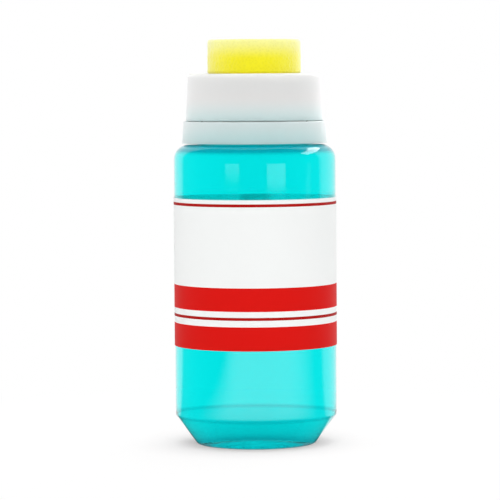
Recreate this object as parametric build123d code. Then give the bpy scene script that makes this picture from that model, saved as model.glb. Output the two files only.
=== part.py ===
from build123d import *
import os
from math import hypot

# Envelope moistener: a clear squeeze bottle of fluid, closed by a screw collar that
# holds a foam sponge in a cup. Millimetres, +Z up. The origin is the middle of the
# foot, on the surface that the bottle stands on. The label's seam is at the back, +Y.

# Bottle body
body_diameter = 36.0
shoulder_height = 66.8
shoulder_radius = 3.3
bottle_wall = 0.9
foot_diameter = 26.4
foot_rise = 6.5
foot_edge_radius = 0.8
foot_top_radius = 0.8
base_thickness = 1.6
push_up_diameter = 20.0
push_up_depth = 0.8

# Neck of the bottle
neck_diameter = 25.1
neck_wall = 1.05
bead_depth = 1.35
bead_height = 1.0
bead_land = 0.4
bead_drop = 0.6

# Right-hand screw thread on the neck and in the collar
thread_pitch = 2.7
thread_turns = 1.5
thread_depth = 0.95
thread_root_width = 1.3
thread_crest_width = 0.6
thread_rise = 1.15
thread_drop = 0.7
thread_clearance = 0.25
flank_clearance = 0.2
thread_embed = 0.3
thread_end_depth = 0.1
thread_start_rise = 0.25

# Fluid
fill_rise = 1.2
fluid_clearance = 0.05

# Wrap-around label
label_bottom = 22.1
label_height = 32.95
label_thickness = 0.12
glue_gap = 0.02
label_lap = 6.0

# Tamper band
band_height = 4.85
band_wall = 0.95
band_flare = 0.34
band_clearance = 0.3
ledge_width = 0.63
slit_height = 0.15
bridge_count = 6
bridge_width = 0.8
bridge_depth = 0.5
bridge_clearance = 0.05
catch_overlap = 0.6
catch_play = 0.3
catch_lip = 0.6
catch_rise = 1.6
lug_count = 24
lug_gap = 1.0

# Screw collar
collar_wall = 1.45
collar_taper = 0.44
collar_land = 2.5
collar_top_wall = 1.8
collar_edge_radius = 0.8
hole_edge_radius = 0.3
retainer_overlap = 0.25
retainer_height = 0.85
retainer_slope = 0.2
retainer_land = 0.2
retainer_play = 0.15

# Sponge cup and its seal
gasket_thickness = 0.8
cup_clearance = 0.2
cup_wall = 0.8
cup_depth = 8.7
cup_floor = 1.0
flange_thickness = 1.2
flange_clearance = 0.45
seal_clearance = 0.05
seal_height = 1.0
seal_drop = 1.2
feed_hole_diameter = 1.6
feed_hole_count = 6
feed_circle_diameter = 11.0

# Sponge
sponge_exposed = 7.6
sponge_clearance = 0.3
sponge_taper = 0.1
sponge_edge_radius = 0.7

# Radii that follow from the sizes above
body_radius = body_diameter / 2
foot_radius = foot_diameter / 2
neck_radius = neck_diameter / 2
bore_radius = neck_radius - neck_wall
bead_radius = neck_radius + bead_depth
collar_inner_radius = neck_radius + thread_depth + thread_clearance
collar_outer_radius = collar_inner_radius + collar_wall
band_top_radius = collar_outer_radius + ledge_width
flange_radius = collar_inner_radius - flange_clearance
retainer_radius = flange_radius - retainer_overlap
cup_outer_radius = bore_radius - cup_clearance
cup_inner_radius = cup_outer_radius - cup_wall
sponge_radius = cup_inner_radius - sponge_clearance

# Heights that follow, from the shoulder up
fill_z = shoulder_height + fill_rise
band_bottom_z = shoulder_height + band_clearance
band_top_z = band_bottom_z + band_height
collar_bottom_z = band_top_z + slit_height
bead_top_z = collar_bottom_z - bead_drop
bead_bottom_z = bead_top_z - bead_height
catch_top_z = bead_bottom_z - catch_play
neck_thread_z = bead_top_z + thread_rise + thread_root_width / 2
neck_thread_end_z = neck_thread_z + thread_turns * thread_pitch
rim_z = neck_thread_end_z + thread_root_width / 2 + thread_drop
flange_bottom_z = rim_z + gasket_thickness
flange_top_z = flange_bottom_z + flange_thickness
collar_top_z = flange_top_z + collar_top_wall
cup_floor_z = flange_top_z - cup_depth
sponge_top_z = collar_top_z + sponge_exposed

# Slope of the ridges' flanks, and how far the collar's ridge lies under the neck's
flank_slope = (thread_root_width - thread_crest_width) / (2 * thread_depth)
thread_offset = thread_root_width - flank_slope * (thread_depth + thread_clearance) + flank_clearance


def rounded(face, corners):
    """Round the face's corners, each given as a point and a radius."""
    for point, radius in corners:
        corner = face.vertices().sort_by_distance(Vector(*point))[0]
        face = fillet(corner, radius)
    return face


def turned(points, corners=()):
    """Solid of revolution about Z from an outline of (radius, height) points."""
    face = rounded(make_face(Polyline(*points, close=True)), corners)
    return revolve(Plane.XZ * face, Axis.Z)


def tube(inner, outer, bottom, height):
    """Straight tube about Z."""
    top = bottom + height
    return turned([(inner, bottom), (outer, bottom), (outer, top), (inner, top)])


def body_solid(inset, floor):
    """Body of the bottle without its neck, drawn in by inset, on a floor with its push-up."""
    run = body_radius - foot_radius
    slant = hypot(run, foot_rise)
    radius = body_radius - inset
    top = shoulder_height - inset
    foot = (foot_radius + (floor * run - inset * slant) / foot_rise, floor)
    foot_top = (radius, ((radius - foot_radius) * foot_rise + inset * slant) / run)
    apex = (0, floor + push_up_depth)
    ring = (push_up_diameter / 2, floor)
    sides = Polyline(ring, foot, foot_top, (radius, top), (0, top), apex)
    push_up = TangentArc(apex, ring, tangent=(1, 0))
    corners = [
        ((radius, top), shoulder_radius - inset),
        (foot_top, foot_top_radius),
        (foot, foot_edge_radius),
    ]
    face = rounded(make_face(sides.edges() + push_up.edges()), corners)
    return revolve(Plane.XZ * face, Axis.Z)


def thread_ridge(root_radius, outward, start_z, start_angle):
    """Helical ridge on a wall, standing outward (1) or inward (-1), rising from its start."""
    path = Helix(thread_pitch, thread_turns * thread_pitch, root_radius)
    half_base = thread_root_width / 2 + flank_slope * thread_embed
    half_crest = thread_crest_width / 2
    outline = Polyline(
        (-outward * thread_embed, -half_base),
        (outward * thread_depth, -half_crest),
        (outward * thread_depth, half_crest),
        (-outward * thread_embed, half_base),
        close=True,
    )
    section = Plane(origin=path @ 0, x_dir=(1, 0, 0), z_dir=path % 0) * make_face(outline)
    ridge = sweep(section, path=path, is_frenet=True)
    return Pos(0, 0, start_z) * Rot(0, 0, start_angle) * ridge


def thread_fade(angle, z):
    """Block that shaves the neck's ridge down to its end at this angle and height."""
    block = Box(thread_depth, neck_radius, thread_pitch, align=(Align.MIN, Align.CENTER, Align.CENTER))
    return Pos(0, 0, z) * Rot(0, 0, angle) * Pos(neck_radius + thread_end_depth, 0, 0) * block


def bottle():
    """Clear bottle: body, neck with retaining bead, and faded thread."""
    shell = body_solid(0, 0) - body_solid(bottle_wall, base_thickness)
    neck = turned([
        (0, shoulder_height - bottle_wall),
        (neck_radius, shoulder_height - bottle_wall),
        (neck_radius, bead_bottom_z),
        (bead_radius, bead_bottom_z),
        (bead_radius, bead_bottom_z + bead_land),
        (neck_radius, bead_top_z),
        (neck_radius, rim_z),
        (0, rim_z),
    ])
    ridge = thread_ridge(neck_radius, 1, neck_thread_z, 0)
    ridge -= thread_fade(0, neck_thread_z)
    ridge -= thread_fade(360 * thread_turns, neck_thread_end_z)
    bore_height = rim_z - shoulder_height + bottle_wall
    bore = Pos(0, 0, rim_z - bore_height / 2) * Cylinder(bore_radius, bore_height)
    return shell + neck + ridge - bore


def moistening_fluid():
    """Fluid that fills the body and stands a little way up the neck."""
    inset = bottle_wall + fluid_clearance
    throat_radius = bore_radius - fluid_clearance
    throat_bottom_z = shoulder_height - shoulder_radius
    throat = turned([
        (0, throat_bottom_z),
        (throat_radius, throat_bottom_z),
        (throat_radius, fill_z),
        (0, fill_z),
    ])
    return body_solid(inset, base_thickness + fluid_clearance) + throat


def wrap_label():
    """Film label right round the body, one end lapped over the other at the back."""
    inner = body_radius + glue_gap
    outer = inner + label_thickness
    film = tube(inner, outer, label_bottom, label_height)
    lap = tube(inner, outer + label_thickness, label_bottom, label_height)
    strip = Box(label_lap, body_radius, label_height, align=(Align.CENTER, Align.MIN, Align.MIN))
    return film + (lap & Pos(0, body_radius / 2, label_bottom) * strip)


def tamper_band():
    """Ring under the collar, with lugs that hook under the neck's bead and the stubs of its bridges."""
    ring = turned([
        (band_top_radius + band_flare, band_bottom_z),
        (band_top_radius, band_top_z),
        (band_top_radius - band_wall, band_top_z),
        (band_top_radius - band_wall + band_flare, band_bottom_z),
    ])
    catch_radius = bead_radius - catch_overlap
    root_radius = band_top_radius - band_wall / 2
    catch = turned([
        (root_radius, catch_top_z),
        (catch_radius, catch_top_z),
        (catch_radius, catch_top_z - catch_lip),
        (root_radius, catch_top_z - catch_rise),
    ])
    gap = Box(root_radius, lug_gap, catch_rise, align=(Align.MIN, Align.CENTER, Align.MAX))
    for place in PolarLocations(0, lug_count):
        catch -= Pos(0, 0, catch_top_z) * place * gap
    ring += catch
    stub_height = slit_height - bridge_clearance
    stub_radius = collar_outer_radius - bridge_depth / 2
    stub = Pos(0, 0, stub_height / 2) * Box(bridge_depth, bridge_width, stub_height)
    for place in PolarLocations(stub_radius, bridge_count):
        ring += Pos(0, 0, band_top_z) * place * stub
    return ring


def screw_collar():
    """Collar with a straight land at its foot, a snap ring for the cup, and the inner thread."""
    hole_radius = sponge_radius + sponge_clearance
    top_radius = collar_outer_radius - collar_taper
    snap_top_z = flange_bottom_z - retainer_play
    snap_low_z = snap_top_z - retainer_height
    shell = turned(
        [
            (collar_outer_radius, collar_bottom_z),
            (collar_outer_radius, collar_bottom_z + collar_land),
            (top_radius, collar_top_z),
            (hole_radius, collar_top_z),
            (hole_radius, flange_top_z),
            (collar_inner_radius, flange_top_z),
            (collar_inner_radius, snap_top_z),
            (retainer_radius, snap_top_z - retainer_slope),
            (retainer_radius, snap_top_z - retainer_slope - retainer_land),
            (collar_inner_radius, snap_low_z),
            (collar_inner_radius, collar_bottom_z),
        ],
        [
            ((top_radius, collar_top_z), collar_edge_radius),
            ((hole_radius, collar_top_z), hole_edge_radius),
        ],
    )
    start_z = collar_bottom_z + thread_start_rise + thread_root_width / 2
    start_angle = 360 * (start_z + thread_offset - neck_thread_z) / thread_pitch
    return shell + thread_ridge(collar_inner_radius, -1, start_z, start_angle)


def sponge_cup():
    """Flanged cup in the neck's bore, with a seal ring round it and feed holes in its floor."""
    seal_radius = bore_radius - seal_clearance
    seal_top_z = rim_z - seal_drop
    bottom_z = cup_floor_z - cup_floor
    cup = turned([
        (0, bottom_z),
        (cup_outer_radius, bottom_z),
        (cup_outer_radius, seal_top_z - seal_height),
        (seal_radius, seal_top_z - seal_height / 2),
        (cup_outer_radius, seal_top_z),
        (cup_outer_radius, flange_bottom_z),
        (flange_radius, flange_bottom_z),
        (flange_radius, flange_top_z),
        (cup_inner_radius, flange_top_z),
        (cup_inner_radius, cup_floor_z),
        (0, cup_floor_z),
    ])
    hole = Pos(0, 0, cup_floor_z) * Cylinder(feed_hole_diameter / 2, cup_depth)
    cup -= hole
    for place in PolarLocations(feed_circle_diameter / 2, feed_hole_count):
        cup -= place * hole
    return cup


def neck_gasket():
    """Flat washer between the neck's rim and the flange of the cup."""
    return tube(bore_radius, neck_radius, rim_z, gasket_thickness)


def sponge():
    """Foam plug that stands on the floor of the cup and out of the collar."""
    tip_radius = sponge_radius - sponge_taper
    return turned(
        [
            (0, cup_floor_z),
            (sponge_radius, cup_floor_z),
            (sponge_radius, collar_top_z),
            (tip_radius, sponge_top_z),
            (0, sponge_top_z),
        ],
        [((tip_radius, sponge_top_z), sponge_edge_radius)],
    )


os.makedirs("parts", exist_ok=True)
for make_piece in (
    bottle,
    moistening_fluid,
    wrap_label,
    tamper_band,
    screw_collar,
    sponge_cup,
    neck_gasket,
    sponge,
):
    export_step(make_piece(), f"parts/{make_piece.__name__}.step")
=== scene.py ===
import logging
from collections.abc import Callable, Sequence
from dataclasses import dataclass
from enum import Enum
from math import acos, asin, cos, hypot, pi, radians, sin, tan

import bpy
from bpy.types import ColorRamp, Material, Node, NodeSocket, NodeTree, Object
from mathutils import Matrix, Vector
from mathutils.geometry import intersect_point_line


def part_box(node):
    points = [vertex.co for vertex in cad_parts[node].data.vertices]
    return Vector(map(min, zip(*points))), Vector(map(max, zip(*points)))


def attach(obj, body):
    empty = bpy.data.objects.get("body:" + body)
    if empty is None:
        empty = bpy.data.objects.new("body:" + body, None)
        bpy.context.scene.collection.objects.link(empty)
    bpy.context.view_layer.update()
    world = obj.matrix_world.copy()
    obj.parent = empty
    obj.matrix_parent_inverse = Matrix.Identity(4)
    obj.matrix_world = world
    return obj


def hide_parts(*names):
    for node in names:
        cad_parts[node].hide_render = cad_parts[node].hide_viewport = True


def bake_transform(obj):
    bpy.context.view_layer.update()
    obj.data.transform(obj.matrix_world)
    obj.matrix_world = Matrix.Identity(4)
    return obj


# Envelope moistener: a clear bottle of dyed fluid with a wrap-around label, a screw collar over a
# tamper band, and a foam sponge held in a cup. Its sizes are in millimetres, turned to metres by MM,
# and those of the studio are in metres.

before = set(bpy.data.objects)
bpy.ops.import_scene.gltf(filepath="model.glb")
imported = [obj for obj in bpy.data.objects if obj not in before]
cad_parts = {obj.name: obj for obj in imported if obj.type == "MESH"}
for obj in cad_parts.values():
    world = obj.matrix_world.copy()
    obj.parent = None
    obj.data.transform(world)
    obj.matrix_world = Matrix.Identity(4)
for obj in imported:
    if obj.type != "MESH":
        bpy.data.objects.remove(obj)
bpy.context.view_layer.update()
LOG = logging.getLogger("envelope_moistener")

MM = 0.001
MERGE_DISTANCE = 0.001 * MM
WHITE = "#FFFFFF"
Point = tuple[float, float]
Corner = tuple[float, float, float]
Place = tuple[float, float, float]


def linear(colour: str) -> tuple[float, float, float, float]:
    """Turn an sRGB hex colour to linear.

    Args:
        colour: The colour as "#RRGGBB".

    Returns:
        Red, green, blue and full alpha, linear.
    """
    levels = [int(colour[at:at + 2], 16) / 255 for at in (1, 3, 5)]
    red, green, blue = [v / 12.92 if v <= 0.04045 else ((v + 0.055) / 1.055) ** 2.4 for v in levels]
    return red, green, blue, 1.0


def per_mm(size: float) -> float:
    """Texture scale, on coordinates in metres, whose features are this many millimetres apart."""
    return 1 / (size * MM)


def add_node(
    tree: NodeTree,
    kind: str,
    settings: dict[str, object] | None = None,
    inputs: dict[str | int, object] | None = None,
    links: dict[str | int, NodeSocket] | None = None,
) -> Node:
    """Add one node with its settings and links.

    Args:
        tree: The node tree that it goes in.
        kind: The node's type without its first two words, such as "Bump".
        settings: Values of the node's own properties.
        inputs: Constant values of its input sockets, by name or number.
        links: Output sockets that feed its input sockets, by name or number.

    Returns:
        The new node.
    """
    node = tree.nodes.new("ShaderNode" + kind)
    for name, value in (settings or {}).items():
        setattr(node, name, value)
    for name, value in (inputs or {}).items():
        node.inputs[name].default_value = value
    for name, socket in (links or {}).items():
        tree.links.new(socket, node.inputs[name])
    return node


def start_material(name: str) -> tuple[Material, NodeTree, NodeSocket]:
    """Start an empty node material.

    Args:
        name: The material's name.

    Returns:
        The material, its node tree and the socket of its Object coordinates.
    """
    material = bpy.data.materials.new(name)
    material.use_nodes = True
    tree = material.node_tree
    tree.nodes.clear()
    coordinates = add_node(tree, "TexCoord")
    return material, tree, coordinates.outputs["Object"]


def uneven(tree: NodeTree, place: NodeSocket, apart: float, height: float, detail: float) -> NodeSocket:
    """Raise soft bumps all over a surface.

    Args:
        tree: The node tree that they go in.
        place: Socket of the place on the piece.
        apart: Distance between the bumps, in millimetres.
        height: Height of the bumps, in millimetres.
        detail: Number of finer layers of bumps.

    Returns:
        The socket of the bumpy surface's normal.
    """
    noise = add_node(
        tree,
        "TexNoise",
        inputs={"Scale": per_mm(apart), "Detail": detail},
        links={"Vector": place},
    )
    bump = add_node(
        tree,
        "Bump",
        inputs={"Strength": 1.0, "Distance": height * MM},
        links={"Height": noise.outputs["Fac"]},
    )
    return bump.outputs["Normal"]


def share_of_height(
    tree: NodeTree, place: NodeSocket, bottom: float, top: float, eased: bool
) -> NodeSocket:
    """Measure how far up a place lies between two heights.

    Args:
        tree: The node tree that it goes in.
        place: Socket of the place on the piece.
        bottom: Height at which the share is 0, in millimetres.
        top: Height at which the share is 1, in millimetres.
        eased: If the share starts and ends softly.

    Returns:
        The socket of the share.
    """
    axes = add_node(tree, "SeparateXYZ", links={"Vector": place})
    share = add_node(
        tree,
        "MapRange",
        settings={"interpolation_type": "SMOOTHSTEP" if eased else "LINEAR"},
        inputs={"From Min": bottom * MM, "From Max": top * MM},
        links={"Value": axes.outputs["Z"]},
    )
    return share.outputs["Result"]


def fill_ramp(ramp: ColorRamp, stops: Sequence[tuple[float, str]]) -> None:
    """Set the stops of a new colour ramp.

    Args:
        ramp: The ramp, with its two first stops.
        stops: Place from 0 to 1 and sRGB colour of each stop, the first at 0.
    """
    ramp.elements.remove(ramp.elements[-1])
    for number, (share, colour) in enumerate(stops):
        stop = ramp.elements[0] if number == 0 else ramp.elements.new(share)
        stop.color = linear(colour)


def dress(piece: Object, material: Material) -> None:
    """Give a piece or a CAD node one material.

    Args:
        piece: The piece or node.
        material: The material for all its slots.
    """
    if not piece.material_slots:
        piece.data.materials.append(material)
    for slot in piece.material_slots:
        slot.material = material


def rounded(corners: Sequence[Corner], steps: int = 8) -> list[Point]:
    """Turn an outline's corners to points, with an arc where a corner has a radius.

    Args:
        corners: Radius from the axis, height and rounding of each corner.
        steps: Number of stretches in each arc.

    Returns:
        The outline's points as (radius, height).
    """
    points: list[Point] = []
    for number, (across, up, radius) in enumerate(corners):
        corner = Vector((across, up))
        if not radius:
            points.append((across, up))
            continue
        back = (Vector(corners[number - 1][:2]) - corner).normalized()
        ahead = (Vector(corners[number + 1][:2]) - corner).normalized()
        half = acos(back.dot(ahead)) / 2
        centre = corner + (back + ahead).normalized() * radius / sin(half)
        start = corner + back * radius / tan(half) - centre
        sweep = start.angle_signed(corner + ahead * radius / tan(half) - centre)
        for step in range(steps + 1):
            turn = -sweep * step / steps
            x = start.x * cos(turn) - start.y * sin(turn)
            z = start.x * sin(turn) + start.y * cos(turn)
            points.append((centre.x + x, centre.y + z))
    return points


def dome(width: float, rise: float, floor: float, steps: int = 10) -> list[Point]:
    """Points of a shallow push-up, from its apex on the axis out to its rim.

    Args:
        width: Radius of the rim.
        rise: Height of the apex over the rim.
        floor: Height of the rim.
        steps: Number of stretches.

    Returns:
        The points as (radius, height).
    """
    ball = (width ** 2 + rise ** 2) / (2 * rise)
    whole = asin(width / ball)
    turns = [whole * step / steps for step in range(steps + 1)]
    return [(ball * sin(turn), floor + rise - ball * (1 - cos(turn))) for turn in turns]


def distance(point: Point, start: Point, end: Point) -> float:
    """Distance of a point from the stretch between two others.

    Args:
        point: The point.
        start: One end of the stretch.
        end: The other end.

    Returns:
        The distance to the nearest place on the stretch.
    """
    nearest, share = intersect_point_line(point, start, end)
    nearest = Vector(nearest[:2]) if 0 < share < 1 else Vector(end if share >= 1 else start)
    return (Vector(point) - nearest).length


def start_outline(name: str, points: Sequence[Point]) -> Object:
    """Draw an outline as a chain of edges, and leave it in edit mode.

    Args:
        name: The piece's name.
        points: Radius and height of each point, in millimetres.

    Returns:
        The new piece.
    """
    bpy.ops.object.select_all(action="DESELECT")
    bpy.ops.mesh.primitive_plane_add(size=MM)
    piece = bpy.context.object
    piece.name = piece.data.name = name
    bpy.ops.object.mode_set(mode="EDIT")
    bpy.ops.mesh.select_mode(type="VERT")
    bpy.ops.mesh.select_all(action="SELECT")
    bpy.ops.mesh.merge(type="CENTER")
    bpy.ops.transform.translate(value=(points[0][0] * MM, 0, points[0][1] * MM))
    for before, after in zip(points, points[1:]):
        step = ((after[0] - before[0]) * MM, 0, (after[1] - before[1]) * MM)
        bpy.ops.mesh.extrude_vertices_move(TRANSFORM_OT_translate={"value": step})
    return piece


def select_vertices(piece: Object, wanted: Callable[[Vector], bool]) -> None:
    """Enter edit mode with the vertices selected that pass a test.

    Args:
        piece: The piece to edit.
        wanted: The test of a vertex's place, in millimetres.
    """
    bpy.ops.object.mode_set(mode="EDIT")
    bpy.ops.mesh.select_mode(type="VERT")
    bpy.ops.mesh.select_all(action="DESELECT")
    bpy.ops.object.mode_set(mode="OBJECT")
    for vertex in piece.data.vertices:
        vertex.select = wanted(vertex.co / MM)
    bpy.ops.object.mode_set(mode="EDIT")


def turned(name: str, points: Sequence[Point], steps: int) -> Object:
    """Spin an outline round the axis to a closed piece.

    Args:
        name: The piece's name.
        points: Radius and height of each point, in millimetres, from axis to axis.
        steps: Number of stretches round the axis.

    Returns:
        The finished piece.
    """
    piece = start_outline(name, points)
    bpy.ops.mesh.select_all(action="SELECT")
    bpy.ops.mesh.spin(steps=steps, angle=2 * pi, center=(0, 0, 0), axis=(0, 0, 1))
    bpy.ops.mesh.select_all(action="SELECT")
    bpy.ops.mesh.remove_doubles(threshold=MERGE_DISTANCE)
    bpy.ops.mesh.normals_make_consistent(inside=False)
    bpy.ops.object.mode_set(mode="OBJECT")
    return piece


def smooth(piece: Object, crease: float) -> None:
    """Shade a piece smooth, apart from its sharp edges.

    Args:
        piece: The piece to shade.
        crease: Angle in degrees above which an edge stays sharp.
    """
    bpy.ops.object.select_all(action="DESELECT")
    piece.select_set(True)
    bpy.context.view_layer.objects.active = piece
    bpy.ops.object.shade_smooth_by_angle(angle=radians(crease))


def apply_modifiers(piece: Object) -> None:
    """Apply all of a piece's modifiers in their order.

    Args:
        piece: The piece that has the modifiers.
    """
    bpy.ops.object.select_all(action="DESELECT")
    piece.select_set(True)
    bpy.context.view_layer.objects.active = piece
    for modifier in list(piece.modifiers):
        bpy.ops.object.modifier_apply(modifier=modifier.name)


class Ink(Enum):
    """Printing inks and bare film of the label."""

    FILM = "#F6F8F7"
    RED = "#DC130D"
    DARK_RED = "#B01410"


@dataclass(frozen=True)
class ClearPet:
    """Clear PET, blown in a polished mould: water-clear and glossy.

    It shows as bright edges and highlights over what is inside, with faint waves in the wall. Its
    thick foot and shoulder have painted shade: darker rings of tint stand in for the light they turn
    aside.
    """

    height: float
    wetted: bool = False
    # Less than the 1.57 of PET: light that goes nearly straight shows the fluid's colour evenly
    ior: float = 1.05
    gloss_ior: float = 1.46
    gloss_roughness: float = 0.06
    roughness: float = 0.02
    wave_mm: float = 12.0
    wave_height_mm: float = 0.03
    wave_detail: float = 1.0
    # Painted shade: tint of light through both walls, darker in rings at the foot, the chamfer's top and
    # the shoulder, at heights over the foot
    painted_shade_rings: tuple[tuple[float, str], ...] = (
        (0.0, "#389AA4"),
        (0.6, "#54A4B0"),
        (1.6, "#A4CCD2"),
        (4.5, "#D4ECEE"),
        (5.9, "#D4ECEE"),
        (6.3, "#9CC2CA"),
        (6.55, "#9CC2CA"),
        (6.9, WHITE),
        (64.7, WHITE),
        (65.5, "#6C8CA4"),
        (66.8, "#6C8CA4"),
        (67.4, WHITE),
    )

    def material(self) -> Material:
        """Build the node material.

        Returns:
            The material.
        """
        material, tree, place = start_material("clear_pet_wetted" if self.wetted else "clear_pet")
        links = {"Normal": uneven(tree, place, self.wave_mm, self.wave_height_mm, self.wave_detail)}
        if not self.wetted:
            # Painted shade: the ramp darkens the clear wall in rings at the foot, the chamfer's top and
            # the shoulder
            rise = share_of_height(tree, place, 0, self.height, eased=False)
            painted_shading = add_node(tree, "ValToRGB", links={"Fac": rise})
            fill_ramp(painted_shading.color_ramp, [(up / self.height, colour) for up, colour in self.painted_shade_rings])
            links["Base Color"] = painted_shading.outputs["Color"]
        shader = add_node(
            tree,
            "BsdfPrincipled",
            inputs={
                "Base Color": linear(WHITE),
                "Roughness": self.roughness,
                "IOR": 1.0 if self.wetted else self.ior,
                "Transmission Weight": 1.0,
                "Coat Weight": 0.0 if self.wetted else 1.0,
                "Coat IOR": self.gloss_ior,
                "Coat Roughness": self.gloss_roughness,
            },
            links=links,
        )
        add_node(tree, "OutputMaterial", links={"Surface": shader.outputs[0]})
        return material


@dataclass(frozen=True)
class DyedFluid:
    """Water with a cyan dye: clear, and deeper in colour the longer the way through it."""

    name: str = "dyed_water"
    # Less than the 1.33 of water, for the same even colour
    ior: float = 1.0
    dye: str = "#00FCFC"
    dye_density: float = 260.0
    swirl_mm: float = 18.0
    swirl_height_mm: float = 0.004
    swirl_detail: float = 0.0

    def material(self) -> Material:
        """Build the node material.

        Returns:
            The material.
        """
        material, tree, place = start_material(self.name)
        swirl = uneven(tree, place, self.swirl_mm, self.swirl_height_mm, self.swirl_detail)
        shader = add_node(
            tree,
            "BsdfPrincipled",
            inputs={
                "Base Color": linear(WHITE),
                "Roughness": 0.0,
                "IOR": self.ior,
                "Transmission Weight": 1.0,
            },
            links={"Normal": swirl},
        )
        dye = add_node(
            tree,
            "VolumeAbsorption",
            inputs={"Color": linear(self.dye), "Density": self.dye_density},
        )
        add_node(tree, "OutputMaterial", links={"Surface": shader.outputs[0], "Volume": dye.outputs[0]})
        return material


@dataclass(frozen=True)
class PrintedFilm:
    """White polypropylene film, printed in red and varnished: satin, with crisp stripes."""

    bottom: float
    height: float
    middle_radius: float
    name: str = "printed_label_film"
    glow_mm: float = 1.2
    roughness: float = 0.5
    ior: float = 1.49
    gloss_level: float = 0.08
    ripple_mm: float = 16.0
    ripple_height_mm: float = 0.01
    ripple_detail: float = 2.0
    # Height and ink of each stripe, from the label's foot up
    stripes: tuple[tuple[float, Ink], ...] = (
        (5.2, Ink.RED),
        (1.45, Ink.FILM),
        (0.6, Ink.DARK_RED),
        (1.25, Ink.FILM),
        (5.2, Ink.RED),
        (17.7, Ink.FILM),
        (0.6, Ink.DARK_RED),
        (0.95, Ink.FILM),
    )

    def material(self) -> Material:
        """Build the node material.

        Returns:
            The material.
        """
        material, tree, place = start_material(self.name)
        share = share_of_height(tree, place, self.bottom, self.bottom + self.height, eased=False)
        print_ramp = add_node(tree, "ValToRGB", links={"Fac": share})
        print_ramp.color_ramp.interpolation = "CONSTANT"
        fill_ramp(print_ramp.color_ramp, self.stripe_stops())
        flat = add_node(
            tree,
            "VectorMath",
            settings={"operation": "MULTIPLY"},
            inputs={1: (1, 1, 0)},
            links={0: place},
        )
        radius = add_node(
            tree, "VectorMath", settings={"operation": "LENGTH"}, links={0: flat.outputs[0]}
        )
        inner_face = add_node(
            tree,
            "Math",
            settings={"operation": "LESS_THAN"},
            inputs={1: self.middle_radius * MM},
            links={0: radius.outputs["Value"]},
        )
        colour = add_node(
            tree,
            "Mix",
            settings={"data_type": "RGBA"},
            inputs={"B": linear(Ink.FILM.value)},
            links={"Factor": inner_face.outputs["Value"], "A": print_ramp.outputs["Color"]},
        )
        shader = add_node(
            tree,
            "BsdfPrincipled",
            inputs={
                "Roughness": self.roughness,
                "IOR": self.ior,
                "Specular IOR Level": self.gloss_level,
                "Subsurface Radius": (1.0, 1.0, 1.0),
                "Subsurface Scale": self.glow_mm * MM,
            },
            links={
                "Base Color": colour.outputs["Result"],
                "Subsurface Weight": inner_face.outputs["Value"],
                "Normal": uneven(tree, place, self.ripple_mm, self.ripple_height_mm, self.ripple_detail),
            },
        )
        add_node(tree, "OutputMaterial", links={"Surface": shader.outputs[0]})
        return material

    def stripe_stops(self) -> list[tuple[float, str]]:
        """Work out where each stripe starts.

        Returns:
            The foot of each stripe as a share of the label's height, and its sRGB colour.
        """
        stops: list[tuple[float, str]] = []
        foot = 0.0
        for tall, ink in self.stripes:
            stops.append((foot / self.height, ink.value))
            foot += tall
        return stops


@dataclass(frozen=True)
class NaturalPolypropylene:
    """Unpigmented polypropylene, injection moulded: milky, satin, letting light glow through."""

    name: str
    colour: str
    # Colour painted at the foot, cyan for the fluid's light that glows through, and the height over
    # which it fades
    painted_glow: str
    foot: float
    painted_glow_height: float
    clearness: float = 0.1
    roughness: float = 0.5
    ior: float = 1.49
    milkiness: float = 0.85
    depth_mm: float = 2.5
    haze: float = 1.0
    haze_roughness: float = 0.55
    grain_mm: float = 0.9
    grain_height_mm: float = 0.006
    grain_detail: float = 2.0

    def material(self) -> Material:
        """Build the node material.

        Returns:
            The material.
        """
        material, tree, place = start_material(self.name)
        # Painted light: the colour is painted cyan towards the foot, for the fluid's light that glows
        # through
        rise = share_of_height(tree, place, self.foot, self.foot + self.painted_glow_height, eased=True)
        colour = add_node(
            tree,
            "Mix",
            settings={"data_type": "RGBA"},
            inputs={"A": linear(self.painted_glow), "B": linear(self.colour)},
            links={"Factor": rise},
        )
        grain = uneven(tree, place, self.grain_mm, self.grain_height_mm, self.grain_detail)
        shader = add_node(
            tree,
            "BsdfPrincipled",
            inputs={
                "Roughness": self.roughness,
                "IOR": self.ior,
                "Transmission Weight": self.clearness,
                "Subsurface Weight": self.milkiness,
                "Subsurface Radius": (1.0, 1.0, 1.0),
                "Subsurface Scale": self.depth_mm * MM,
                "Sheen Weight": self.haze,
                "Sheen Roughness": self.haze_roughness,
            },
            links={"Base Color": colour.outputs["Result"], "Normal": grain},
        )
        add_node(tree, "OutputMaterial", links={"Surface": shader.outputs[0]})
        return material


@dataclass(frozen=True)
class SoftElastomer:
    """Thermoplastic elastomer washer: matt and faintly warm."""

    name: str = "soft_elastomer"
    colour: str = "#DAD9D4"
    roughness: float = 0.62
    roughness_play: float = 0.06
    ior: float = 1.5
    bloom_mm: float = 1.5
    bloom_detail: float = 3.0

    def material(self) -> Material:
        """Build the node material.

        Returns:
            The material.
        """
        material, tree, place = start_material(self.name)
        bloom = add_node(
            tree,
            "TexNoise",
            inputs={"Scale": per_mm(self.bloom_mm), "Detail": self.bloom_detail},
            links={"Vector": place},
        )
        wear = add_node(
            tree,
            "MapRange",
            inputs={
                "To Min": self.roughness - self.roughness_play,
                "To Max": self.roughness + self.roughness_play,
            },
            links={"Value": bloom.outputs["Fac"]},
        )
        shader = add_node(
            tree,
            "BsdfPrincipled",
            inputs={"Base Color": linear(self.colour), "IOR": self.ior},
            links={"Roughness": wear.outputs["Result"]},
        )
        add_node(tree, "OutputMaterial", links={"Surface": shader.outputs[0]})
        return material


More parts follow.
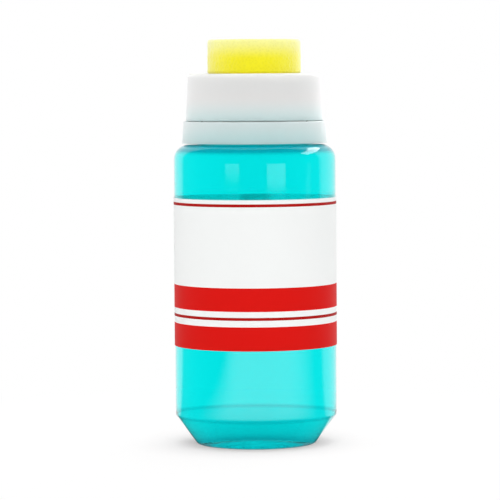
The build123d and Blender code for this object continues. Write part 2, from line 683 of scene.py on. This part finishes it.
@dataclass(frozen=True)
class OpenCellFoam:
    """Open-cell polyurethane foam, dyed yellow: matt, pored and pale along its soft edges.

    It is deep in colour by the cup, and painted paler towards the tip, as painted light for the top that
    catches more light.
    """

    deep_height: float
    tip_height: float
    name: str = "open_cell_foam"
    painted_light_rise: float = 3.0
    painted_light_tip: str = "#FFFBA0"
    deep_colour: str = "#FFF208"
    # Share of the colour left at a pore's middle: painted shade in the pores
    pore_shade: float = 0.94
    cell_mm: float = 0.55
    cell_height_mm: float = 0.12
    cell_strength: float = 0.6
    # Distance from a cell's middle, in cells, at which the painted shade in its pore ends and its colour
    # is full
    cell_reach: float = 0.6
    roughness: float = 0.95
    ior: float = 1.4
    gloss_level: float = 0.2
    glow: float = 0.3
    glow_mm: float = 1.2
    glow_spread: Place = (1.0, 0.9, 0.35)
    fuzz: float = 1.0
    fuzz_roughness: float = 0.55
    fuzz_colour: str = "#FFFFE8"

    def material(self) -> Material:
        """Build the node material.

        Returns:
            The material.
        """
        material, tree, place = start_material(self.name)
        cells = add_node(
            tree,
            "TexVoronoi",
            settings={"feature": "F1"},
            inputs={"Scale": per_mm(self.cell_mm)},
            links={"Vector": place},
        )
        # Painted light: the colour pales from the deep yellow by the cup to a lighter one at the tip
        painted_light_start = self.deep_height + self.painted_light_rise
        painted_light_share = share_of_height(tree, place, painted_light_start, self.tip_height, eased=True)
        foam = add_node(
            tree,
            "Mix",
            settings={"data_type": "RGBA"},
            inputs={"A": linear(self.deep_colour), "B": linear(self.painted_light_tip)},
            links={"Factor": painted_light_share},
        )
        # Painted shade: each pore's colour darkens towards its middle, where the surface dips
        painted_pore_shade = add_node(
            tree,
            "MapRange",
            inputs={"From Max": self.cell_reach, "To Min": self.pore_shade, "To Max": 1.0},
            links={"Value": cells.outputs["Distance"]},
        )
        painted_shading = add_node(
            tree,
            "VectorMath",
            settings={"operation": "SCALE"},
            links={0: foam.outputs["Result"], "Scale": painted_pore_shade.outputs["Result"]},
        )
        bump = add_node(
            tree,
            "Bump",
            inputs={"Strength": self.cell_strength, "Distance": self.cell_height_mm * MM},
            links={"Height": cells.outputs["Distance"]},
        )
        shader = add_node(
            tree,
            "BsdfPrincipled",
            inputs={
                "Roughness": self.roughness,
                "IOR": self.ior,
                "Specular IOR Level": self.gloss_level,
                "Subsurface Weight": self.glow,
                "Subsurface Radius": self.glow_spread,
                "Subsurface Scale": self.glow_mm * MM,
                "Sheen Weight": self.fuzz,
                "Sheen Roughness": self.fuzz_roughness,
                "Sheen Tint": linear(self.fuzz_colour),
            },
            links={"Base Color": painted_shading.outputs["Vector"], "Normal": bump.outputs["Normal"]},
        )
        add_node(tree, "OutputMaterial", links={"Surface": shader.outputs[0]})
        return material


@dataclass
class Bottle:
    """Clear bottle with its screw neck, the fluid in it and the label round it."""

    body_radius: float = 18.0
    shoulder_height: float = 66.8
    shoulder_radius: float = 3.3
    # Edges close to both ends of the straight side keep its shading upright
    straight_margin: float = 0.6
    # Wall and base are drawn thinner than they are: a real wall bends light so that the fluid fills it
    shown_wall: float = 0.25
    shown_base: float = 0.4
    foot_radius: float = 13.2
    foot_rise: float = 6.5
    foot_rounding: float = 0.8
    push_up_radius: float = 10.0
    push_up_rise: float = 0.8
    neck_radius: float = 12.55
    neck_rounding: float = 0.4
    bore_radius: float = 11.5
    bead_radius: float = 13.9
    bead_bottom: float = 70.5
    bead_land: float = 0.4
    bead_height: float = 1.0
    rim_height: float = 78.7
    rim_rounding: float = 0.25
    thread_start: float = 73.3
    thread_pitch: float = 2.7
    thread_turns: float = 1.5
    thread_depth: float = 0.95
    thread_half_root: float = 0.65
    thread_half_crest: float = 0.3
    thread_end_depth: float = 0.1
    thread_embed: float = 0.3
    # Reach, in half widths of the crest, that picks the crest's two corners
    thread_pick: float = 1.1
    throat_rounding: float = 0.4
    fluid_clearance: float = 0.05
    fluid_level: float = 68.0
    meniscus_climb: float = 0.7
    meniscus_reach: float = 2.5
    meniscus_power: int = 3
    meniscus_steps: int = 8
    spin_steps: int = 192
    thread_steps: int = 144
    crease: float = 35.0

    def side(self, inset: float, floor: float) -> list[Corner]:
        """Corners of the body from the rim of its push-up to its shoulder.

        Args:
            inset: How far the outline is drawn in from the bottle's outside.
            floor: Height of the flat ring that it stands on.

        Returns:
            Radius, height and rounding of each corner.
        """
        run = self.body_radius - self.foot_radius
        slant = hypot(run, self.foot_rise)
        radius = self.body_radius - inset
        foot = self.foot_radius + (floor * run - inset * slant) / self.foot_rise
        foot_top = ((radius - self.foot_radius) * self.foot_rise + inset * slant) / run
        return [
            (self.push_up_radius, floor, 0),
            (foot, floor, self.foot_rounding),
            (radius, foot_top, self.foot_rounding),
            (radius, foot_top + self.straight_margin, 0),
            (radius, self.shoulder_height - self.shoulder_radius - self.straight_margin, 0),
            (radius, self.shoulder_height - inset, self.shoulder_radius - inset),
        ]

    def build_shell(self) -> Object:
        """Spin the wall from outside to inside, and join the thread to its neck.

        Returns:
            The bottle.
        """
        top = self.shoulder_height
        bead_foot = self.bead_bottom
        outside = self.side(0, 0) + [
            (self.neck_radius, top, self.neck_rounding),
            (self.neck_radius, bead_foot, 0),
            (self.bead_radius, bead_foot, 0),
            (self.bead_radius, bead_foot + self.bead_land, 0),
            (self.neck_radius, bead_foot + self.bead_height, 0),
            (self.neck_radius, self.rim_height, self.rim_rounding),
            (self.bore_radius, self.rim_height, self.rim_rounding),
            (self.bore_radius, top - self.shown_wall, self.throat_rounding),
        ]
        inside = self.side(self.shown_wall, self.shown_base)[::-1]
        under = dome(self.push_up_radius, self.push_up_rise, 0)
        floor = dome(self.push_up_radius, self.push_up_rise, self.shown_base)[::-1]
        walls = rounded(outside + inside)
        shell = turned("bottle_shell", under + walls[1:-1] + floor, self.spin_steps)
        thread = self.build_thread()
        union = shell.modifiers.new("thread", "BOOLEAN")
        union.operation = "UNION"
        union.object = thread
        apply_modifiers(shell)
        bpy.data.objects.remove(thread)
        smooth(shell, self.crease)
        return shell

    def dress_shell(self, shell: Object) -> None:
        """Give the wall clear plastic, and its wetted faces the kind that turns no light.

        Args:
            shell: The bottle.
        """
        for wetted in (False, True):
            shell.data.materials.append(ClearPet(self.rim_height, wetted).material())
        neck = [(self.neck_radius, self.shoulder_height, 0), (self.neck_radius, self.rim_height, 0)]
        outside = dome(self.push_up_radius, self.push_up_rise, 0) + rounded(self.side(0, 0) + neck)[1:]
        for face in shell.data.polygons:
            across, up = hypot(face.center.x, face.center.y) / MM, face.center.z / MM
            deep = min(distance((across, up), *ends) for ends in zip(outside, outside[1:]))
            face.material_index = int(up < self.fluid_level and deep > self.shown_wall / 2)

    def build_thread(self) -> Object:
        """Wind the neck's ridge from its outline, faded at both ends.

        Returns:
            The ridge, as a piece to be joined to the neck.
        """
        root = self.neck_radius - self.thread_embed
        crest = self.neck_radius + self.thread_depth
        slope = (self.thread_half_root - self.thread_half_crest) / self.thread_depth
        half_root = self.thread_half_root + slope * self.thread_embed
        start = self.thread_start
        outline = [
            (root, start - half_root),
            (crest, start - self.thread_half_crest),
            (crest, start + self.thread_half_crest),
            (root, start + half_root),
        ]
        ridge = start_outline("thread_ridge", outline)
        bpy.ops.mesh.select_all(action="SELECT")
        bpy.ops.mesh.edge_face_add()
        bpy.ops.mesh.delete(type="ONLY_FACE")
        bpy.ops.object.mode_set(mode="OBJECT")
        screw = ridge.modifiers.new("helix", "SCREW")
        screw.angle = 2 * pi * self.thread_turns
        screw.screw_offset = self.thread_pitch * self.thread_turns * MM
        screw.steps = screw.render_steps = self.thread_steps
        apply_modifiers(ridge)
        self.fade_thread(ridge, crest)
        return ridge

    def fade_thread(self, ridge: Object, crest: float) -> None:
        """Run the ridge's crest down to the neck at both ends, and close the ends.

        Args:
            ridge: The wound ridge.
            crest: Radius of its crest.
        """
        end = self.neck_radius + self.thread_end_depth
        step_turn = 2 * pi * self.thread_turns / self.thread_steps
        step_rise = self.thread_pitch * self.thread_turns / self.thread_steps
        near = self.thread_pick * self.thread_half_crest
        for step in range(self.thread_steps):
            reach = end / cos(step * step_turn)
            if reach > crest:
                break
            for ring in (step, self.thread_steps - step):
                turn = ring * step_turn
                height = self.thread_start + ring * step_rise
                middle = Vector((crest * cos(turn), crest * sin(turn), height))
                select_vertices(ridge, lambda place: (place - middle).length < near)
                share = reach / crest
                bpy.ops.transform.resize(value=(share, share, 1), center_override=(0, 0, 0))
        bpy.ops.mesh.select_all(action="DESELECT")
        bpy.ops.mesh.select_mode(type="EDGE")
        bpy.ops.mesh.select_non_manifold()
        bpy.ops.mesh.fill()
        bpy.ops.mesh.select_all(action="SELECT")
        bpy.ops.mesh.normals_make_consistent(inside=False)
        bpy.ops.object.mode_set(mode="OBJECT")

    def build_fluid(self) -> Object:
        """Spin the fluid, just clear of the wall and with a meniscus where it meets the neck.

        Returns:
            The fluid.
        """
        inset = self.shown_wall + self.fluid_clearance
        floor = self.shown_base + self.fluid_clearance
        throat = self.bore_radius - self.fluid_clearance
        edge = self.fluid_level + self.meniscus_climb
        corners = self.side(inset, floor) + [
            (throat, self.shoulder_height - inset, self.throat_rounding),
            (throat, edge, 0),
        ]
        surface = []
        for step in range(1, self.meniscus_steps + 1):
            gone = step / self.meniscus_steps
            dip = self.meniscus_climb * (1 - gone) ** self.meniscus_power
            surface.append((throat - self.meniscus_reach * gone, self.fluid_level + dip))
        surface.append((0, self.fluid_level))
        under = dome(self.push_up_radius, self.push_up_rise, floor)
        fluid = turned("moistening_fluid_fill", under + rounded(corners)[1:] + surface, self.spin_steps)
        smooth(fluid, self.crease)
        return fluid

    def build(self) -> list[Object]:
        """Build and dress the bottle and its fluid, and dress the label.

        Returns:
            The two new pieces and the label.
        """
        shell = self.build_shell()
        self.dress_shell(shell)
        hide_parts("bottle")
        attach(shell, "bottle")
        shell.visible_shadow = False
        fluid = self.build_fluid()
        dress(fluid, DyedFluid().material())
        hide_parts("moistening_fluid")
        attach(fluid, "bottle")
        fluid.visible_shadow = False
        low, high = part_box("wrap_label")
        film = PrintedFilm(
            bottom=low[2] / MM,
            height=(high[2] - low[2]) / MM,
            middle_radius=(self.body_radius - low[0] / MM) / 2,
        )
        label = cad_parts["wrap_label"]
        dress(label, film.material())
        return [shell, fluid, label]


@dataclass
class Closure:
    """Screw collar and the tamper band under it, both as the CAD has them."""

    # Painted light: the collar's colour turns cyan towards its foot, painted for the fluid's light
    # glowing through
    collar_plastic: NaturalPolypropylene = NaturalPolypropylene(
        name="natural_polypropylene",
        colour="#FAFDF8",
        painted_glow="#DAFCFB",
        foot=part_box("screw_collar")[0][2] / MM,
        painted_glow_height=6.0,
    )
    # Painted light: the band's colour is painted cyan all over, and more so at its foot, for the fluid's
    # light glowing through
    band_plastic: NaturalPolypropylene = NaturalPolypropylene(
        name="natural_polypropylene_band",
        colour="#DEFBFC",
        painted_glow="#C6F5F7",
        foot=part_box("tamper_band")[0][2] / MM,
        painted_glow_height=4.85,
    )

    def build(self) -> list[Object]:
        """Dress the collar and the band.

        Returns:
            The two CAD nodes.
        """
        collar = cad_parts["screw_collar"]
        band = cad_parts["tamper_band"]
        dress(collar, self.collar_plastic.material())
        dress(band, self.band_plastic.material())
        return [collar, band]


@dataclass
class Applicator:
    """Sponge in its cup, with the washer that seals the cup on the neck."""

    sponge_radius: float = 10.2
    swell_radius: float = 10.45
    swell_rise: float = 0.3
    tip_radius: float = 10.4
    cup_floor: float = 72.0
    collar_top: float = 82.5
    tip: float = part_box("sponge")[1][2] / MM
    foot_rounding: float = 0.3
    edge_rounding: float = 0.7
    rounding_steps: int = 6
    cup_colour: str = "#F2F4F3"
    # Painted light: the cup's colour near its floor is cyan, painted for the fluid's light glowing
    # through
    cup_painted_glow: str = "#E4F0F0"
    cell_mm: float = 0.3
    pore_mm: float = 0.9
    pore_depth: float = 0.12
    spin_steps: int = 224
    crease: float = 80.0

    def build_sponge(self) -> Object:
        """Spin the plug with faces as small as its pores, and press the pores in.

        Returns:
            The sponge.
        """
        corners = [
            (0, self.cup_floor, 0),
            (self.sponge_radius, self.cup_floor, self.foot_rounding),
            (self.sponge_radius, self.collar_top, 0),
            (self.swell_radius, self.collar_top + self.swell_rise, 0),
            (self.tip_radius, self.tip, self.edge_rounding),
            (0, self.tip, 0),
        ]
        outline = rounded(corners, self.rounding_steps)
        points = [outline[0]]
        for before, after in zip(outline, outline[1:]):
            pieces = max(1, round(hypot(after[0] - before[0], after[1] - before[1]) / self.cell_mm))
            for step in range(1, pieces + 1):
                part = step / pieces
                across = before[0] + (after[0] - before[0]) * part
                points.append((across, before[1] + (after[1] - before[1]) * part))
        sponge = turned("sponge_plug", points, self.spin_steps)
        pores = bpy.data.textures.new("foam_pores", "VORONOI")
        pores.noise_scale = self.pore_mm * MM
        pressed = sponge.modifiers.new("pores", "DISPLACE")
        pressed.texture = pores
        pressed.texture_coords = "LOCAL"
        pressed.mid_level = 0.0
        pressed.strength = -self.pore_depth * MM
        apply_modifiers(sponge)
        smooth(sponge, self.crease)
        return sponge

    def build(self) -> list[Object]:
        """Build and dress the sponge, and dress the cup and the washer.

        Returns:
            The new sponge, the cup and the washer.
        """
        sponge = self.build_sponge()
        dress(sponge, OpenCellFoam(self.collar_top, self.tip).material())
        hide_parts("sponge")
        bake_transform(sponge)
        cup_plastic = NaturalPolypropylene(
            "white_polypropylene",
            self.cup_colour,
            self.cup_painted_glow,
            self.cup_floor,
            self.collar_top - self.cup_floor,
        )
        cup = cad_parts["sponge_cup"]
        dress(cup, cup_plastic.material())
        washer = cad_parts["neck_gasket"]
        dress(washer, SoftElastomer().material())
        return [sponge, cup, washer]


@dataclass(frozen=True)
class SoftBox:
    """Soft lamp: its place and aim in metres, its sides, its power in watts, and if gloss shows it."""

    name: str
    place: Place
    aim: Place
    width: float
    height: float
    power: float
    mirrored: bool

    def build(self) -> Object:
        """Hang the lamp and turn it to its aim.

        Returns:
            The lamp.
        """
        bpy.ops.object.light_add(type="AREA", location=self.place)
        lamp = bpy.context.object
        lamp.name = self.name
        lamp.rotation_euler = (Vector(self.aim) - Vector(self.place)).to_track_quat("-Z", "Y").to_euler()
        lamp.data.shape = "RECTANGLE"
        lamp.data.size = self.width
        lamp.data.size_y = self.height
        lamp.data.energy = self.power
        lamp.visible_camera = False
        lamp.visible_transmission = False
        lamp.visible_glossy = self.mirrored
        lamp.visible_diffuse = not self.mirrored
        return lamp


def ray_kinds(tree: NodeTree) -> tuple[NodeSocket, NodeSocket]:
    """Tell what a ray in a floor or world material is for.

    Args:
        tree: The node tree that it goes in.

    Returns:
        A socket that is 1 where the surroundings are seen, straight or through the bottle, and one
        that is 1 where gloss mirrors them.
    """
    path = add_node(tree, "LightPath")
    seen = add_node(
        tree,
        "Math",
        settings={"operation": "MAXIMUM"},
        links={0: path.outputs["Is Camera Ray"], 1: path.outputs["Is Transmission Ray"]},
    )
    mirrored = add_node(
        tree,
        "Math",
        settings={"operation": "SUBTRACT", "use_clamp": True},
        links={0: path.outputs["Is Glossy Ray"], 1: path.outputs["Is Transmission Ray"]},
    )
    return seen.outputs["Value"], mirrored.outputs["Value"]


@dataclass
class Studio:
    """Pale floor, soft lamps, white surroundings and the camera."""

    camera_place: Place = (-0.00092, -0.65, 0.083)
    camera_tilt: float = 3.508
    camera_roll: float = 0.37
    lens: float = 210.0
    sensor_width: float = 36.0
    clip_start: float = 0.01
    bounces: int = 32
    glossy_bounces: int = 16
    diffuse_bounces: int = 8
    floor_size: float = 8.0
    floor_front: float = 0.3
    floor_colour: str = "#F6F6F6"
    floor_fade: float = 0.11
    # Distances from the axis at which the floor starts to whiten, and where it is near_white
    foot_shade: float = 0.01
    near_shade: float = 0.03
    near_white: float = 0.85
    ambient: float = 0.45
    # White backdrop, a little to the right, as gloss mirrors it: its side edge and its levels
    backdrop_skew: float = 0.17
    backdrop_edge: tuple[float, float] = (0.36, 0.52)
    backdrop_level: float = 0.9
    front_dim: float = 0.03
    # Lit sheet on the floor in front, as gloss mirrors it: its near edge, its left edge, which lies
    # aslant, and its fading to the right, which goes by direction
    sheet_level: float = 2.3
    sheet_near: tuple[float, float] = (0.06, 0.085)
    sheet_slant: Place = (0.904, -0.428, 0)
    sheet_left: tuple[float, float] = (-0.09, 0.0)
    sheet_right: tuple[float, float] = (0.05, -0.8)
    # Lamps: name, place, aim, width, height, power, and if they are for gloss alone
    lamps: tuple[SoftBox, ...] = (
        SoftBox("key_softbox", (0.0, -0.75, 0.65), (0, 0, 0.05), 0.6, 0.6, 3.5, False),
        SoftBox("top_softbox", (0.05, 0.05, 1.0), (0, 0, 0), 0.8, 0.8, 3.6, False),
        SoftBox("right_softbox", (0.7, 0.3, 0.25), (0, 0, 0.05), 0.4, 0.5, 0.3, False),
        SoftBox("left_softbox", (-0.7, 0.2, 0.25), (0, 0, 0.05), 0.3, 0.5, 0.8, False),
        SoftBox("back_softbox", (0.25, 0.7, 0.4), (0, 0, 0.06), 0.9, 0.6, 4.0, False),
        SoftBox("shoulder_strip", (0.6, 0.36, 0.66), (0, 0, 0.06), 0.95, 0.2, 3.0, True),
        SoftBox("left_glint", (-0.317, -0.509, 0.0433), (0, 0, 0.06), 0.21, 0.006, 0.0075, True),
        SoftBox("right_glint", (0.3, -0.519, 0.041), (0, 0, 0.06), 0.285, 0.012, 0.019, True),
    )

    def build_floor(self) -> None:
        """Lay the floor, white far off and keeping the shadow near the object."""
        bpy.ops.object.select_all(action="DESELECT")
        bpy.ops.mesh.primitive_plane_add(size=self.floor_size)
        floor = bpy.context.object
        floor.name = "floor"
        bpy.ops.object.mode_set(mode="EDIT")
        bpy.ops.mesh.select_all(action="SELECT")
        bpy.ops.transform.translate(value=(0, self.floor_size / 2 - self.floor_front, 0))
        bpy.ops.object.mode_set(mode="OBJECT")
        material, tree, place = start_material("matt_paper_sweep")
        reach = add_node(tree, "VectorMath", settings={"operation": "LENGTH"}, links={0: place})
        away = add_node(
            tree,
            "MapRange",
            inputs={"From Max": self.floor_fade},
            links={"Value": reach.outputs["Value"]},
        )
        whiteness = add_node(tree, "ValToRGB", links={"Fac": away.outputs["Result"]})
        stops = whiteness.color_ramp.elements
        stops[0].position = self.foot_shade / self.floor_fade
        middle = stops.new(self.near_shade / self.floor_fade)
        middle.color = (self.near_white, self.near_white, self.near_white, 1)
        seen, mirrored = ray_kinds(tree)
        share = add_node(
            tree,
            "Math",
            settings={"operation": "MULTIPLY"},
            links={0: whiteness.outputs["Color"], 1: seen},
        )
        glow = add_node(
            tree,
            "Mix",
            inputs={"A": 1.0},
            links={"Factor": mirrored, "B": self.sheet(tree, place)},
        )
        lit_share = add_node(
            tree,
            "Math",
            settings={"operation": "MAXIMUM"},
            links={0: share.outputs["Value"], 1: mirrored},
        )
        paper = add_node(tree, "BsdfDiffuse", inputs={"Color": linear(self.floor_colour)})
        white = add_node(tree, "Emission", links={"Strength": glow.outputs["Result"]})
        both = add_node(
            tree,
            "MixShader",
            links={0: lit_share.outputs["Value"], 1: paper.outputs[0], 2: white.outputs[0]},
        )
        add_node(tree, "OutputMaterial", links={"Surface": both.outputs[0]})
        dress(floor, material)

    def backdrop(self, tree: NodeTree, direction: NodeSocket) -> NodeSocket:
        """Brightness of the surroundings in a direction: white behind the object, dim before it.

        Args:
            tree: The node tree that it goes in.
            direction: Socket of the direction from the object, of length 1.

        Returns:
            The socket of the brightness.
        """
        behind = add_node(
            tree,
            "VectorMath",
            settings={"operation": "DOT_PRODUCT"},
            inputs={1: (self.backdrop_skew, 1, 0)},
            links={0: direction},
        )
        start, end = self.backdrop_edge
        bright = add_node(
            tree,
            "MapRange",
            settings={"interpolation_type": "SMOOTHSTEP"},
            inputs={
                "From Min": start,
                "From Max": end,
                "To Min": self.front_dim,
                "To Max": self.backdrop_level,
            },
            links={"Value": behind.outputs["Value"]},
        )
        return bright.outputs["Result"]

    def sheet(self, tree: NodeTree, place: NodeSocket) -> NodeSocket:
        """Brightness of the lit sheet that lies in front, as the bottle's gloss shows it.

        Args:
            tree: The node tree that it goes in.
            place: Socket of the place on the floor.

        Returns:
            The socket of the brightness.
        """
        reach = add_node(tree, "VectorMath", settings={"operation": "LENGTH"}, links={0: place})
        aslant = add_node(
            tree,
            "VectorMath",
            settings={"operation": "DOT_PRODUCT"},
            inputs={1: self.sheet_slant},
            links={0: place},
        )
        direction = add_node(tree, "VectorMath", settings={"operation": "NORMALIZE"}, links={0: place})
        axes = add_node(tree, "SeparateXYZ", links={"Vector": direction.outputs[0]})
        edges = (
            (reach.outputs["Value"], self.sheet_near),
            (aslant.outputs["Value"], self.sheet_left),
            (axes.outputs["Y"], self.sheet_right),
        )
        # Each edge fades what the edges before it leave
        level: dict[str, NodeSocket] = {}
        for value, (start, end) in edges:
            faded = add_node(
                tree,
                "MapRange",
                settings={"interpolation_type": "SMOOTHSTEP"},
                inputs={"From Min": start, "From Max": end, "To Max": self.sheet_level},
                links={"Value": value, **level},
            )
            level = {"To Max": faded.outputs["Result"]}
        bright = add_node(
            tree,
            "Math",
            settings={"operation": "MAXIMUM"},
            links={0: level["To Max"], 1: self.backdrop(tree, direction.outputs[0])},
        )
        return bright.outputs["Value"]

    def build_world(self) -> None:
        """Surround the object with white for the eye and the clear bottle, dimmer as a light."""
        world = bpy.data.worlds.new("white_studio")
        bpy.context.scene.world = world
        world.use_nodes = True
        tree = world.node_tree
        tree.nodes.clear()
        seen, mirrored = ray_kinds(tree)
        direction = add_node(tree, "TexCoord")
        unseen = add_node(
            tree,
            "Mix",
            inputs={"A": self.ambient},
            links={"Factor": mirrored, "B": self.backdrop(tree, direction.outputs["Generated"])},
        )
        strength = add_node(
            tree,
            "Math",
            settings={"operation": "MAXIMUM"},
            links={0: seen, 1: unseen.outputs["Result"]},
        )
        light = add_node(
            tree,
            "Background",
            inputs={"Color": linear(WHITE)},
            links={"Strength": strength.outputs["Value"]},
        )
        add_node(tree, "OutputWorld", links={"Surface": light.outputs[0]})

    def build_camera(self) -> None:
        """Set the camera at the photograph's viewing angle."""
        bpy.ops.object.camera_add(location=self.camera_place)
        camera = bpy.context.object
        camera.rotation_euler = (radians(90 - self.camera_tilt), radians(self.camera_roll), 0)
        camera.data.lens = self.lens
        camera.data.sensor_width = self.sensor_width
        camera.data.clip_start = self.clip_start
        bpy.context.scene.camera = camera

    def build(self) -> None:
        """Build the floor, the lamps, the world and the camera."""
        self.build_floor()
        for lamp in self.lamps:
            lamp.build()
        self.build_world()
        self.build_camera()
        scene = bpy.context.scene
        scene.view_settings.view_transform = "Standard"
        scene.cycles.max_bounces = self.bounces
        scene.cycles.transmission_bounces = self.bounces
        scene.cycles.glossy_bounces = self.glossy_bounces
        scene.cycles.diffuse_bounces = self.diffuse_bounces
        scene.cycles.caustics_refractive = False


def main() -> None:
    """Build the sub-assemblies and the studio in order, and report each piece."""
    logging.basicConfig(level=logging.INFO, format="%(message)s")
    for group in (Bottle(), Closure(), Applicator()):
        for piece in group.build():
            LOG.info("%s: %s, %d faces", type(group).__name__, piece.name, len(piece.data.polygons))
    Studio().build()


if __name__ == "__main__":
    main()
